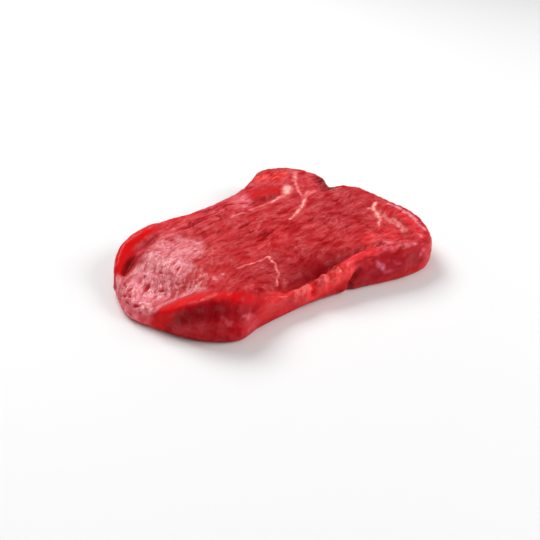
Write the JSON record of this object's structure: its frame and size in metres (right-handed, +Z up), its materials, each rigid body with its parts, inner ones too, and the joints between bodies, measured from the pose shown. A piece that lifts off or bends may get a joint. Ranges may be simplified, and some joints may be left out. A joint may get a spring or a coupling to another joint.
{
  "type": "raw beef silverside steak",
  "caption": "Thick raw beef steak cut flat, narrow at one end and broad and notched at the other, with a rolled lumpy edge.",
  "frame": {"origin": "on the flat face it rests on, under the middle of the bounding box", "axes": "+X along the steak from its narrow end to its broad end, +Z up through its thickness, -Y towards the side with the waist and the rolled edge"},
  "size_m": [0.1632, 0.1232, 0.0229],
  "materials": {
    "meat": "moist raw meat with pale fat veins"
  },
  "bodies": {
    "root": {"steak": "meat"}
  },
  "joints": []
}
